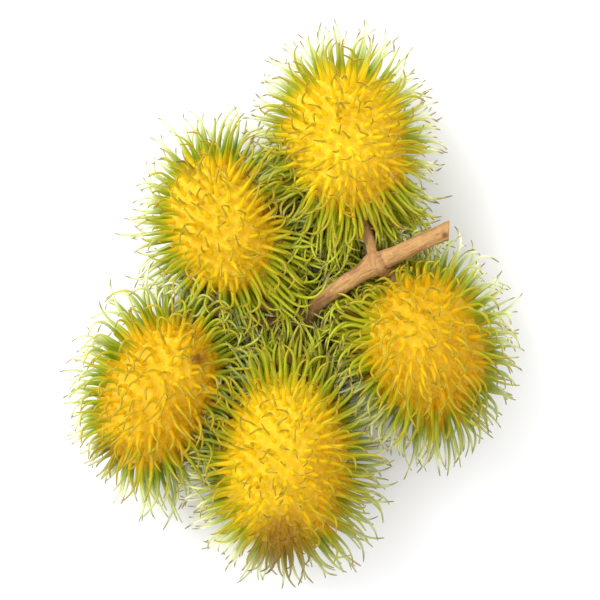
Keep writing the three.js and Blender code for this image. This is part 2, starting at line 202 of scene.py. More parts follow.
class Fruit:
    """One rind's place and shape, and the habits of its spines."""

    def __init__(self, name, middle, half, stem, **habits):
        heading, rise = np.radians(stem)
        across = math.hypot(half[0] * math.sin(rise), half[1] * math.cos(rise))
        axis = np.array([
            math.cos(heading) * math.cos(rise),
            math.sin(heading) * math.cos(rise),
            math.sin(rise),
        ])
        side = unit(np.cross(UP, axis))
        self.name = name
        self.axis = axis
        self.turn = np.array([axis, side, np.cross(axis, side)])
        self.half = np.array([half[0], half[1], half[1]])
        self.centre = np.array([*middle, CUSHION + across])
        self.habits = habits

    def on_rind(self, units):
        """The points of the rind that directions on the unit sphere map to."""
        return self.centre + (units * self.half) @ self.turn

    def rind_gap(self, points):
        """How far points are outside the rind, and the way out of it."""
        own = (points - self.centre) @ self.turn.T
        slope = own / self.half**2
        level = np.sqrt((own * slope).sum(-1))
        steep = np.linalg.norm(slope, axis=-1)
        return (level - 1) * level / steep, unit(slope) @ self.turn


fruits = [Fruit(name, **facts) for name, facts in FRUITS.items()]


# ---- Twig route ----

def smooth_line(knots, step):
    """A centripetal Catmull-Rom line through the knots. Each row is x, y, z and radius."""
    knots = np.array(knots, float)
    padded = np.vstack([2 * knots[0] - knots[1], knots, 2 * knots[-1] - knots[-2]])
    spans = np.sqrt(np.linalg.norm(np.diff(padded[:, :3], axis=0), axis=1))
    rows = []
    for i in range(1, len(knots)):
        a, b, c, d = padded[i - 1:i + 3]
        before, here, after = spans[i - 1:i + 2]
        leave = ((b - a) / before - (c - a) / (before + here) + (c - b) / here) * here
        arrive = ((c - b) / here - (d - b) / (here + after) + (d - c) / after) * here
        count = math.ceil(np.linalg.norm(c[:3] - b[:3]) / step)
        t = (np.arange(count) / count)[:, None]
        rows.append(
            b + leave * t
            + (3 * (c - b) - 2 * leave - arrive) * t**2
            + (2 * (b - c) + leave + arrive) * t**3
        )
    rows.append(knots[-1:])
    return np.vstack(rows)


def stalk_line(fruit, step):
    """A stalk swells a little before its fruit and ends in a flared collar on the stem end."""
    end = fruit.on_rind(np.array([1.0, 0, 0]))
    route = [(*point, STALK_RADIUS) for point in STALKS[fruit.name]]
    for distance, radius in (
        (STALK_RUN_IN, STALK_RADIUS * STALK_SWELL[0]),
        (COLLAR_LENGTH, STALK_RADIUS * STALK_SWELL[1]),
        (COLLAR_GAP, COLLAR_RADIUS),
    ):
        route.append((*(end + fruit.axis * distance), radius))
    return smooth_line(route, step)


# The twig as rows of balls for the spines to keep clear of.
BALL_STEP = 1.0
BARE_KNOTS = 8  # so many of its knots, from the cut end, have no spine over them
BARE_HEIGHTS = (3.5, 7, 10.5)  # of more balls above them
bare_stretch = smooth_line(TWIG_ROUTE[:BARE_KNOTS], BALL_STEP)
bare_balls = np.vstack([bare_stretch + [0, 0, height, 0] for height in (0, *BARE_HEIGHTS)])
twig_balls = np.vstack([
    smooth_line(TWIG_ROUTE, BALL_STEP),
    *[stalk_line(fruit, BALL_STEP) for fruit in fruits],
    bare_balls,
])


# ---- Growing spines ----

def spine_radius(share):
    """The radius of a spine at a share of its length."""
    shares, sizes = zip(*SPINE_PROFILE)
    return SPINE_FOOT_RADIUS * np.interp(share, shares, sizes)


AREA_POWER = 1.6  # in the rule of thumb for an ellipsoid's surface


def spiral_sites(fruit, spacing, random):
    """Directions on the unit sphere, spread in a loose spiral from the stem end to the blossom end."""
    along, across = fruit.half[:2]
    mean = (2 * (along * across) ** AREA_POWER + across ** (2 * AREA_POWER)) / 3
    area = 4 * math.pi * mean ** (1 / AREA_POWER)
    count = int(area / (spacing**2 * math.sqrt(3) / 2))
    place = np.arange(count) + 0.5
    x = 1 - 2 * place / count
    turn = place * math.pi * (3 - math.sqrt(5))
    out = np.sqrt(1 - x**2)
    even = np.stack([x, out * np.cos(turn), out * np.sin(turn)], axis=1)
    jitter = random.uniform(-1, 1, even.shape) * SITE_JITTER * math.sqrt(4 * math.pi / count)
    units = unit(even + jitter)
    return units[across * np.arccos(np.clip(units[:, 0], -1, 1)) > BARE_CAP]


def spine_feet(fruit, random):
    """Where a fruit's spines stand, with more of them where they face a gap."""
    everywhere = fruit.on_rind(spiral_sites(fruit, SPINE_SPACING, random))
    more = fruit.on_rind(spiral_sites(fruit, SHELTERED_SPACING, random))
    out = fruit.rind_gap(more)[1]
    more = more[shelter(more, out)[0] * low_down(out) > SHELTERED_LEAST]
    return np.vstack([everywhere, more, crown_feet(fruit, random)])


def crown_feet(fruit, random):
    """Close rings of feet round the stem end."""
    rings = []
    for radius, count in CROWN_RINGS:
        off = radius / fruit.half[1] + random.uniform(-CROWN_JITTER_OFF, CROWN_JITTER_OFF, count)
        uneven = random.uniform(-CROWN_JITTER_ROUND, CROWN_JITTER_ROUND, count)
        turn = (np.arange(count) + uneven) * 2 * math.pi / count
        across = np.sin(off)
        rings.append(np.stack([np.cos(off), across * np.cos(turn), across * np.sin(turn)], axis=1))
    return fruit.on_rind(np.vstack(rings))


def shelter(places, out):
    """How much each place on a rind faces a gap from near by, from 0 to 1, and which gap that is."""
    found = []
    for x, y, full, gone, most in GAPS:
        inwards = np.array([x, y]) - places[:, :2]
        nearness = np.interp(np.linalg.norm(inwards, axis=1), (full, gone), (most, 0))
        facing = (out[:, :2] * unit(inwards)).sum(1)
        found.append(nearness * np.clip(facing * FACING_GAIN, 0, 1))
    return np.max(found, axis=0), np.argmax(found, axis=0)


def low_down(out):
    """How much a place on a rind faces sideways and not up, from 0 to 1."""
    return np.interp(out[:, 2], SHELTERED_SLOPE, (1, 0))


def painted_shade_facing(out):
    """How far each place on a rind faces the side that is painted darker as shade, from 0 to 1."""
    return np.clip(out[:, :2] @ PAINTED_SHADE_WAY, 0, 1)


def dryness(places, out):
    """How withered each place on a rind is, from 0 to 1."""
    most = np.zeros(len(places))
    for x, y, reach, dry in DRY_SPOTS:
        distance = np.hypot(places[:, 0] - x, places[:, 1] - y)
        most = np.maximum(most, dry * np.clip(DRY_FOCUS - DRY_FOCUS * distance / reach, 0, 1))
    return most * (out[:, 2] > DRY_LOWEST)


def across_from(out):
    """Two directions square to each of these and to each other: one level, one pointing down."""
    level = unit(np.cross(UP, out) + np.array([1e-6, 0, 0]))
    return level, np.cross(level, out)


def twig_gap(points, balls):
    """How far points are outside a row of balls, and the way out of the nearest one."""
    away = points[:, None] - balls[:, :3]
    gap = np.linalg.norm(away, axis=-1) - balls[:, 3]
    nearest = gap.argmin(1)
    row = np.arange(len(points))
    return gap[row, nearest], unit(away[row, nearest])


def in_the_way(points, radius, own):
    """The room to the table, each other rind and the twig, the way out, and how near it counts."""
    found = [(points[:, 2] - radius * PRESSED_SHARE, np.broadcast_to(UP, points.shape), TABLE_ROOM)]
    for fruit in fruits:
        if fruit is not own:
            gap, out = fruit.rind_gap(points)
            found.append((gap - radius - SPINE_GAP, out, TURN_ROOM))
    gap, out = twig_gap(points, twig_balls)
    found.append((gap - radius - SPINE_GAP, out, TWIG_ROOM))
    return found


def spine_lengths(fruit, out, reaching, random):
    """How long a fruit's spines are, before any of them wither."""
    habits = fruit.habits
    length = SPINE_LENGTH * random.uniform(*LENGTH_RANGE, len(out))
    length *= 1 + SHELTERED_GAIN * reaching + out[:, :2] @ habits["longer"]
    length *= 1 + habits["stretch"] * (out[:, 1] ** 2 - out[:, 0] ** 2)
    length *= 1 - UPPER_SHORTER * np.clip(out[:, 2], 0, 1) ** 2
    for turn, gain in habits["tufts"]:
        towards = [math.cos(math.radians(turn)), math.sin(math.radians(turn))]
        length *= 1 + gain * np.clip(out[:, :2] @ towards, 0, 1) ** TUFT_FOCUS
    return length * (1 + LONG_GAIN * (random.uniform(0, 1, len(out)) < LONG_SHARE))


def spine_starts(fruit, feet, out, pull, gap, random):
    """The ways a fruit's spines first head: outwards, combed, round its stalk and towards their gaps."""
    upward = np.clip(out[:, 2:], 0, 1) ** 2
    comb = np.array([*fruit.habits["comb"], 0])
    gathered = STEM_GATHER * np.clip(out @ fruit.axis, 0, 1)[:, None] ** 2
    gap_place = np.column_stack([
        np.array(GAPS)[gap, :2] + random.uniform(-GAP_SPREAD, GAP_SPREAD, (len(feet), 2)),
        random.uniform(*GAP_HEIGHTS, len(feet)),
    ])
    pulled = unit(gap_place - feet) * pull[:, None]
    lean = random.uniform(-LEAN, LEAN, out.shape)
    return unit(out + lean + comb * upward + fruit.axis * gathered + pulled)


def stunted(feet, heading, length):
    """The spines' lengths, less for those that would meet the bare twig."""
    kept = length.copy()
    for share in STUNTED_SHARES:
        meets = twig_gap(feet + heading * (length * share)[:, None], bare_balls)[0] < SPINE_GAP
        kept[meets] = length[meets] * share
    return kept


def dodged(fruit, here, heading, step, radius):
    """Where spines get to in one step, turning and keeping away from what is in their way."""
    for room, way, reach in in_the_way(here, radius, fruit):
        into = np.clip(-(heading * way).sum(1), 0, None)
        turned = np.clip(1 - np.clip(room, 0, None) / reach, 0, 1)
        heading = heading + way * (into * turned)[:, None]
    onward = here + unit(heading) * step
    for room, way, _ in in_the_way(onward, radius, fruit):
        onward = onward - way * np.clip(room, None, 0)[:, None]
    heading = unit(onward - here)
    return here + heading * step, heading


def grow_spines(fruit, random):
    """The axes of a fruit's spines, as rows of points, and what colours each spine."""
    habits = fruit.habits
    feet = spine_feet(fruit, random)
    count = len(feet)
    _, out = fruit.rind_gap(feet)
    sheltered, gap = shelter(feet, out)
    reaching = sheltered * low_down(out)
    length = spine_lengths(fruit, out, reaching, random)
    dry = np.maximum(dryness(feet, out), reaching * (random.uniform(0, 1, count) < DRY_SHARE))
    length *= 1 - DRY_SHRINK * dry
    curl = random.uniform(*habits["curl"], count) * (1 + SHELTERED_TANGLE * reaching + dry)
    tip_hook = random.uniform(*TIP_HOOK, count) * np.interp(out[:, 2], SIDE_TO_TOP, TIP_HOOK_GAIN)
    tip_hook *= habits["tips"]
    angle = random.uniform(0, 2 * math.pi, count)[:, None]
    level, down = across_from(out)
    curl_to = level * np.cos(angle) + down * np.sin(angle) + [*habits["hook"], -DROOP]
    heading = spine_starts(fruit, feet, out, SHELTERED_PULL * reaching, gap, random)
    length = stunted(feet, heading, length)
    wobble = np.interp(reaching, (0, 1), WOBBLE)[:, None]
    step = (length / SPINE_STEPS)[:, None]
    points = [feet - out * ROOT_DEPTH, feet]
    for i in range(1, SPINE_STEPS + 1):
        share = i / SPINE_STEPS
        bend = curl * 2 * share / SPINE_STEPS
        if share > HOOK_START:
            bend = bend + tip_hook / ((1 - HOOK_START) * SPINE_STEPS)
        heading = unit(heading + curl_to * bend[:, None] + random.normal(0, 1, out.shape) * wobble)
        point, heading = dodged(fruit, points[-1], heading, step, spine_radius(share))
        points.append(point)
    tint = random.uniform(0, 1, count) + habits["pale"]
    traits = dict(sun=out[:, 2], sheltered=sheltered, dry=dry, painted_shade_facing=painted_shade_facing(out), tint=tint)
    return np.stack(points, axis=1), traits


RELAX_ROUNDS = 6
RELAX_SMOOTHING = 0.25
ROOTED_POINTS = 3  # points at a spine's foot that stay where they are
OWN_RIND_ROOM = 0.5  # between the rest of them and the spine's own rind


def part_spines(paths, owners):
    """Pushes spines that cross apart, on whichever fruits they grow. owners is each spine's fruit."""
    count, rings = paths.shape[:2]
    shares = np.clip((np.arange(rings) - 1) / SPINE_STEPS, 0, 1)
    radius = np.tile(spine_radius(shares), count)
    lengths = np.linalg.norm(np.diff(paths, axis=1), axis=2)
    most = 2 * SPINE_FOOT_RADIUS
    for _ in range(RELAX_ROUNDS):
        flat = paths.reshape(-1, 3)
        tree = kdtree.KDTree(len(flat))
        for i, point in enumerate(flat):
            tree.insert(point, i)
        tree.balance()
        push = np.zeros_like(flat)
        for i, point in enumerate(flat):
            if i % rings < ROOTED_POINTS:
                continue
            for other, j, distance in tree.find_range(point, most):
                need = radius[i] + radius[j] + SPINE_GAP
                if j // rings != i // rings and 0 < distance < need:
                    push[i] += (point - np.array(other)) * (need - distance) / distance / 2
        paths = paths + push.reshape(paths.shape)
        middle = (paths[:, :-2] + paths[:, 2:]) / 2
        paths[:, 2:-1] += (middle[:, 1:] - paths[:, 2:-1]) * RELAX_SMOOTHING
        for k in range(ROOTED_POINTS, rings):
            for index, fruit in enumerate(fruits):
                mine = owners == index
                for room, way, _ in in_the_way(paths[mine, k], spine_radius(shares[k]), fruit):
                    paths[mine, k] -= way * np.clip(room, None, 0)[:, None]
                gap, way = fruit.rind_gap(paths[mine, k])
                paths[mine, k] -= way * np.clip(gap - OWN_RIND_ROOM, None, 0)[:, None]
            towards = unit(paths[:, k] - paths[:, k - 1])
            paths[:, k] = paths[:, k - 1] + towards * lengths[:, k - 1:k]
    return paths


# ---- Node helpers ----

def node(tree, kind, inputs=None, **settings):
    """Adds a node, sets its properties, and sets or links its inputs."""
    made = tree.nodes.new(kind)
    for name, setting in settings.items():
        setattr(made, name, setting)
    for key, given in (inputs or {}).items():
        if isinstance(given, bpy.types.NodeSocket):
            tree.links.new(given, made.inputs[key])
        else:
            made.inputs[key].default_value = given
    return made


def maths(tree, operation, *numbers, **settings):
    """The result of one operation on numbers, in any kind of tree."""
    inputs = dict(enumerate(numbers))
    return node(tree, "ShaderNodeMath", inputs, operation=operation, **settings).outputs[0]


def curved(tree, number, profile):
    """A number carried over by a smooth curve through the profile's points."""
    made = node(tree, "ShaderNodeFloatCurve", {"Value": number})
    points = made.mapping.curves[0].points
    while len(points) < len(profile):
        points.new(0.5, 0.5)
    for point, (x, y) in zip(points, profile):
        point.location = (x, y)
    made.mapping.update()
    return made.outputs[0]


def named_value(tree, name):
    """A number that the mesh holds at each point."""
    return node(tree, "GeometryNodeInputNamedAttribute", {"Name": name}).outputs["Attribute"]


def stored(tree, geometry, name, number):
    """Geometry that also holds a number at each point."""
    return node(tree, "GeometryNodeStoreNamedAttribute", {
        "Geometry": geometry,
        "Name": name,
        "Value": number,
    }, data_type="FLOAT", domain="POINT").outputs[0]


def tubes(tree, axes, sides, radius):
    """A closed round tube along each axis."""
    section = node(tree, "GeometryNodeCurvePrimitiveCircle", {"Resolution": sides, "Radius": 1.0})
    return node(tree, "GeometryNodeCurveToMesh", {
        "Curve": axes,
        "Profile Curve": section.outputs[0],
        "Scale": radius,
        "Fill Caps": True,
    }).outputs[0]


def lifted(tree, geometry, height):
    """Geometry with its points moved outwards."""
    normal = node(tree, "GeometryNodeInputNormal").outputs["Normal"]
    lift = node(tree, "ShaderNodeVectorMath", {0: normal, "Scale": height}, operation="SCALE")
    moved = node(tree, "GeometryNodeSetPosition", {"Geometry": geometry, "Offset": lift.outputs[0]})
    return moved.outputs[0]


def geometry_tree(name, inputs):
    """A geometry tree with these named inputs, and its input and output nodes."""
    tree = bpy.data.node_groups.new(name, "GeometryNodeTree")
    for side in ("INPUT", "OUTPUT"):
        tree.interface.new_socket("Geometry", in_out=side, socket_type="NodeSocketGeometry")
    for label, kind in inputs.items():
        tree.interface.new_socket(label, in_out="INPUT", socket_type=f"NodeSocket{kind}")
    return tree, node(tree, "NodeGroupInput").outputs, node(tree, "NodeGroupOutput")


def ended(tree, result, geometry, material):
    """Ends a geometry tree: all that it has made is real and bears the material."""
    real = node(tree, "GeometryNodeRealizeInstances", {"Geometry": geometry})
    dressed = node(tree, "GeometryNodeSetMaterial", {"Geometry": real.outputs[0], "Material": material})
    tree.links.new(dressed.outputs[0], result.inputs[0])
    return tree


def built(piece, tree, values):
    """Runs a geometry tree on a piece with these inputs, and leaves its result as a plain mesh."""
    modifier = piece.modifiers.new(tree.name, "NODES")
    modifier.node_group = tree
    for item in tree.interface.items_tree:
        if item.in_out == "INPUT" and item.name in values:
            modifier[item.identifier] = values[item.name]
    return plain_mesh(piece)


def plain_mesh(piece):
    """Applies all of a piece's modifiers."""
    depsgraph = bpy.context.evaluated_depsgraph_get()
    mesh = bpy.data.meshes.new_from_object(
        piece.evaluated_get(depsgraph), preserve_all_data_layers=True, depsgraph=depsgraph
    )
    piece.modifiers.clear()
    piece.data = mesh
    mesh.name = piece.name
    return piece


def new_piece(name, data):
    """An object with this data, put in the scene."""
    piece = bpy.data.objects.new(name, data)
    bpy.context.scene.collection.objects.link(piece)
    return piece


def hold(mesh, name, values):
    """Holds a number, or a row of three, at each of a mesh's points."""
    kind, field = ("FLOAT", "value") if values.ndim == 1 else ("FLOAT_VECTOR", "vector")
    attribute = mesh.attributes.new(name, kind, "POINT")
    attribute.data.foreach_set(field, values.astype(np.float32).ravel())


# ---- Fruit meshes ----

def fruit_tree():
    """Turns a fruit's bare rind and its spines' axes into the finished skin."""
    tree, given, result = geometry_tree("rind and spines", {
        "Foot Radius": "Float",
        "Sides": "Int",
        "Rings": "Int",
        "Flare Height": "Float",
        "Flare Reach": "Float",
        "Pore Depth": "Float",
        "Skin": "Material",
    })
    parts = node(tree, "GeometryNodeSeparateGeometry", {
        "Geometry": given["Geometry"],
        "Selection": named_value(tree, "spine"),
    }).outputs
    axes, rind = parts["Selection"], parts["Inverted"]

    curves = node(tree, "GeometryNodeMeshToCurve", {"Mesh": axes}).outputs[0]
    smooth = node(tree, "GeometryNodeCurveSplineType", {"Curve": curves}, spline_type="CATMULL_ROM")
    even = node(tree, "GeometryNodeResampleCurve", {"Curve": smooth.outputs[0], "Count": given["Rings"]})
    share = node(tree, "GeometryNodeSplineParameter").outputs["Factor"]
    foot = maths(tree, "MULTIPLY", given["Foot Radius"], named_value(tree, "girth"))
    radius = maths(tree, "MULTIPLY", foot, curved(tree, share, SPINE_PROFILE))
    spines = tubes(tree, stored(tree, even.outputs[0], "along", share), given["Sides"], radius)

    near = node(tree, "GeometryNodeProximity", {"Target": axes}, target_element="EDGES")
    reach = maths(tree, "DIVIDE", near.outputs["Distance"], given["Flare Reach"], use_clamp=True)
    rise = maths(tree, "MULTIPLY", curved(tree, reach, FLARE_PROFILE), given["Flare Height"])
    grain = node(tree, "ShaderNodeTexNoise", {"Scale": PORE_SCALE, "Detail": 3.0}).outputs["Fac"]
    pores = maths(tree, "MULTIPLY", maths(tree, "SUBTRACT", grain, 0.5), given["Pore Depth"])
    height = maths(tree, "ADD", rise, pores)
    skin = lifted(tree, stored(tree, rind, "valley", reach), height)

    joined = node(tree, "GeometryNodeJoinGeometry")
    tree.links.new(skin, joined.inputs[0])
    tree.links.new(spines, joined.inputs[0])
    shaded = node(tree, "GeometryNodeSetShadeSmooth", {"Geometry": joined.outputs[0]})
    return ended(tree, result, shaded.outputs[0], given["Skin"])


def bare_rind():
    """Points and four-sided faces spread evenly over a unit sphere."""
    ball = bmesh.new()
    bmesh.ops.create_cube(ball, size=2)
    bmesh.ops.subdivide_edges(ball, edges=ball.edges[:], cuts=RIND_CUTS, use_grid_fill=True)
    points = np.array([v.co for v in ball.verts])
    faces = [[v.index for v in face.verts] for face in ball.faces]
    ball.free()
    return unit(np.tan(points * math.pi / 4)), faces


def raw_fruit(fruit, paths, traits, sphere):
    """A mesh of the bare rind's faces and the spines' axes, with what the skin's colours need."""
    units, faces = sphere
    rind = fruit.on_rind(units)
    _, out = fruit.rind_gap(rind)
    count, rings = paths.shape[:2]
    first = len(rind)
    number = first + np.arange(count * rings).reshape(count, rings)
    edges = np.stack([number[:, :-1].ravel(), number[:, 1:].ravel()], axis=1)
    mesh = bpy.data.meshes.new(fruit.name)
    mesh.from_pydata(np.vstack([rind, paths.reshape(-1, 3)]) * MM, edges.tolist(), faces)
    on_rind = dict(
        spine=np.zeros(first),
        sun=out[:, 2],
        sheltered=shelter(rind, out)[0],
        dry=dryness(rind, out),
        painted_shade_facing=painted_shade_facing(out),
        tint=np.full(first, 0.5),
        girth=np.ones(first),
    )
    on_spines = dict(traits, spine=np.ones(count))
    for name, values in on_rind.items():
        hold(mesh, name, np.concatenate([values, np.repeat(on_spines[name], rings)]))
    hold(mesh, "ripe", np.full(len(mesh.vertices), fruit.habits["ripe"]))
    return mesh


# ---- Twig mesh ----

VOXEL = 0.25
SOFTENING = 0.5
SOFTENING_ROUNDS = 3
LINE_STEP = 0.4
TWIG_SIDES = 28
FURROW_DEPTH = 0.5
FURROWS_ROUND = 2.6
WRINKLE_DEPTH = 0.3
WRINKLES_ROUND = 9.0
BARK_SEED = 4.0
BARK_PORE_HEIGHT = 0.12
BARK_PORE_SPACING = 1.7
BARK_PORE_EDGE = (0.34, 0.14)  # where its rise starts and ends, in spacings from its middle
BARK_PORELESS = 0.55  # the share of the places for a pore that stay bare
BARK_ACROSS = 0.5  # how fine the bark's pattern is round a limb, and along it
BARK_ALONG = 0.035
CUT_OVERHANG = 3
CUT_REACH = 7.5  # nothing further than this from the middle of the cut end is cut
CUT_BEVEL = 0.25
CUT_FLATNESS = 0.02  # what is this near the cut's plane,
CUT_WIDTH = 5  # and this near its middle, is on the cut end
# Rings round the twig: how far each is from the cut end, how high it stands and how wide it is. One
# that stands below 0 is a groove.
TWIG_RINGS = ((25.1, 0.4, 0.8), (23.7, -0.3, 0.5), (9.2, 0.12, 0.5), (36.5, 0.15, 0.6))
RING_SCAR = (23.7, 0.5, 0.55)  # the dark one: how far from the cut end, how wide and how dark
BUD_SCAR = (47.2, 22.2, 46.0)  # a dark scar beside the cut end
BUD_SCAR_REACH = (0.5, 1.4)


def cut_plane():
    """A point on the twig's cut end and the way that end faces."""
    start, onward = np.array(TWIG_ROUTE[0][:3]), np.array(TWIG_ROUTE[1][:3])
    heading = unit(onward - start)
    sideways = np.cross(heading, unit(UP - heading * heading[2]))
    return start, unit(CUT_SLANT * sideways - heading), heading


def twig_lines():
    """The twig's and the stalks' axes. The twig's runs on past its cut end, which is cut off later."""
    start, _, heading = cut_plane()
    over = (*(start - heading * CUT_OVERHANG), TWIG_ROUTE[0][3])
    main = smooth_line((over, *TWIG_ROUTE), LINE_STEP)
    for place, height, width in TWIG_RINGS:
        distance = (np.arange(len(main)) - 0.5) * LINE_STEP - CUT_OVERHANG - place
        main[:, 3] += height * np.exp(-((distance / width) ** 2))
    return [main] + [stalk_line(fruit, LINE_STEP) for fruit in fruits]


def limb_tree():
    """Turns axes with a girth at each point into round limbs."""
    tree, given, result = geometry_tree("limbs", {"Sides": "Int", "Bark": "Material"})
    axes = node(tree, "GeometryNodeMeshToCurve", {"Mesh": given["Geometry"]}).outputs[0]
    limbs = tubes(tree, axes, given["Sides"], named_value(tree, "girth"))
    return ended(tree, result, limbs, given["Bark"])


def bark_tree():
    """Roughens the fused limbs: furrows and fine wrinkles that run along them, and raised pores."""
    tree, given, result = geometry_tree("bark relief", {
        "Furrow Depth": "Float",
        "Furrows Round": "Float",
        "Wrinkle Depth": "Float",
        "Wrinkles Round": "Float",
        "Pore Height": "Float",
        "Pore Spacing": "Float",
        "Seed": "Float",
        "Bark": "Material",
    })
    place = node(tree, "GeometryNodeInputNamedAttribute", {"Name": "round"}, data_type="FLOAT_VECTOR")
    relief = []
    for size, depth in (("Furrows Round", "Furrow Depth"), ("Wrinkles Round", "Wrinkle Depth")):
        cloud = node(tree, "ShaderNodeTexNoise", {
            "Vector": place.outputs["Attribute"],
            "W": given["Seed"],
            "Scale": given[size],
            "Detail": 4.0,
            "Roughness": 0.6,
        }, noise_dimensions="4D")
        found = cloud.outputs["Fac"]
        height = maths(tree, "MULTIPLY", maths(tree, "SUBTRACT", found, 0.5), given[depth])
        relief.append((found, height))
    (furrow, furrow_height), (wrinkle, wrinkle_height) = relief

    fineness = maths(tree, "DIVIDE", 1.0, given["Pore Spacing"])
    cells = node(tree, "ShaderNodeTexVoronoi", {"Scale": fineness}).outputs
    pick = node(tree, "ShaderNodeSeparateXYZ", {0: cells["Color"]}).outputs[0]
    mound = node(tree, "ShaderNodeMapRange", {
        "Value": cells["Distance"],
        "From Min": BARK_PORE_EDGE[0],
        "From Max": BARK_PORE_EDGE[1],
    }, interpolation_type="SMOOTHSTEP").outputs["Result"]
    pore = maths(tree, "MULTIPLY", mound, maths(tree, "GREATER_THAN", pick, BARK_PORELESS))
    pore_height = maths(tree, "MULTIPLY", pore, given["Pore Height"])

    depth = maths(tree, "ADD", maths(tree, "ADD", furrow_height, wrinkle_height), pore_height)
    barked = maths(tree, "SUBTRACT", 1.0, named_value(tree, "cut"))
    marked = given["Geometry"]
    for name, number in (("furrow", furrow), ("wrinkle", wrinkle), ("pore", pore)):
        marked = stored(tree, marked, name, number)
    rough = lifted(tree, marked, maths(tree, "MULTIPLY", depth, barked))
    return ended(tree, result, rough, given["Bark"])


def make_twig(bark):
    """The twig and its stalks as one fused, barked piece with a slanting cut end."""
    lines = twig_lines()
    mesh = bpy.data.meshes.new("twig axes")
    ends = np.cumsum([len(line) for line in lines])
    edges = [(i, i + 1) for i in range(ends[-1] - 1) if i + 1 not in ends]
    rows = np.vstack(lines) * MM
    mesh.from_pydata(rows[:, :3], edges, [])
    hold(mesh, "girth", rows[:, 3])
    twig = built(new_piece("woody_twig", mesh), limb_tree(), {"Sides": TWIG_SIDES, "Bark": bark})
    fuse = twig.modifiers.new("fuse", "REMESH")
    fuse.mode = "VOXEL"
    fuse.voxel_size = VOXEL * MM
    soften = twig.modifiers.new("soften", "SMOOTH")
    soften.factor = SOFTENING
    soften.iterations = SOFTENING_ROUNDS
    plain_mesh(twig)
    cut_off(twig.data)
    mark_bark(twig.data, lines)
    return built(twig, bark_tree(), {
        "Furrow Depth": FURROW_DEPTH * MM,
        "Furrows Round": FURROWS_ROUND,
        "Wrinkle Depth": WRINKLE_DEPTH * MM,
        "Wrinkles Round": WRINKLES_ROUND,
        "Pore Height": BARK_PORE_HEIGHT * MM,
        "Pore Spacing": BARK_PORE_SPACING * MM,
        "Seed": BARK_SEED,
        "Bark": bark,
    })


def cut_off(mesh):
    """Cuts the twig's overhanging end off along its slanting plane and closes the cut."""
    start, facing, _ = cut_plane()
    shape = bmesh.new()
    shape.from_mesh(mesh)
    near = [v for v in shape.verts if np.linalg.norm(np.array(v.co) / MM - start) < CUT_REACH]
    edges = dict.fromkeys(edge for v in near for edge in v.link_edges)
    faces = dict.fromkeys(face for v in near for face in v.link_faces)
    result = bmesh.ops.bisect_plane(
        shape,
        geom=[*near, *edges, *faces],
        plane_co=Vector(start * MM),
        plane_no=Vector(facing),
        clear_outer=True,
    )
    rim = [item for item in result["geom_cut"] if isinstance(item, bmesh.types.BMEdge)]
    face = bmesh.ops.edgeloop_fill(shape, edges=rim)["faces"]
    bmesh.ops.inset_region(shape, faces=face, thickness=CUT_BEVEL * MM)
    bmesh.ops.poke(shape, faces=face)
    bmesh.ops.recalc_face_normals(shape, faces=shape.faces[:])
    shape.to_mesh(mesh)
    shape.free()


def mark_bark(mesh, lines):
    """Holds each point's place on its limb, and how much it is on a scar and on the cut end."""
    samples = np.vstack(lines)
    headings = np.vstack([unit(np.gradient(line[:, :3], axis=0)) for line in lines])
    lengths = np.concatenate([np.arange(len(line)) * LINE_STEP for line in lines])
    tree = kdtree.KDTree(len(samples))
    for i, row in enumerate(samples):
        tree.insert(row[:3], i)
    tree.balance()
    points = np.array([v.co for v in mesh.vertices]) / MM
    nearest = np.array([tree.find(point)[1] for point in points])
    away = points - samples[nearest, :3]
    distance = np.linalg.norm(away, axis=1)
    along = lengths[nearest]
    heading = headings[nearest]
    spoke = unit(np.cross(heading, UP) + 1e-6)
    other = np.cross(heading, spoke)
    turn = unit(np.stack([(away * spoke).sum(1), (away * other).sum(1)], axis=1))

    start, facing, _ = cut_plane()
    flat = np.abs((points - start) @ facing) < CUT_FLATNESS
    close = np.linalg.norm(points - start, axis=1) < CUT_WIDTH
    place, width, dark = RING_SCAR
    ring = np.exp(-(((along - CUT_OVERHANG - place) / width) ** 2)) * (nearest < len(lines[0]))
    bud = np.interp(np.linalg.norm(points - BUD_SCAR, axis=1), BUD_SCAR_REACH, (1, 0))
    hold(mesh, "round", np.column_stack([turn * BARK_ACROSS, along * BARK_ALONG]))
    hold(mesh, "scar", np.maximum(bud, dark * ring))
    hold(mesh, "cut", flat & close)
    hold(mesh, "pith", distance / samples[nearest, 3])
    hold(mesh, "upper", away[:, 2] / distance)


# ---- Materials ----

def colour(red, green, blue):
    """A screen colour, from 0 to 255, as the linear values that shaders take."""
    return (*(((c / 255 + 0.055) / 1.055) ** 2.4 for c in (red, green, blue)), 1)


def value(tree, name):
    """A number that the mesh holds at each point."""
    return node(tree, "ShaderNodeAttribute", attribute_name=name).outputs["Fac"]


def spread(tree, number, low, high, to_low=0.0, to_high=1.0):
    """A number carried over from one range to another, and held inside it."""
    return node(tree, "ShaderNodeMapRange", {
        "Value": number,
        "From Min": low,
        "From Max": high,
        "To Min": to_low,
        "To Max": to_high,
    }).outputs["Result"]


MIX_A, MIX_B, MIX_RESULT = 6, 7, 2  # the places of a mix node's colour sockets
BUMP_DISTANCE = 0.0003


def mixed(tree, share, first, second):
    """One colour turning into another."""
    inputs = {"Factor": share, MIX_A: first, MIX_B: second}
    return node(tree, "ShaderNodeMix", inputs, data_type="RGBA").outputs[MIX_RESULT]


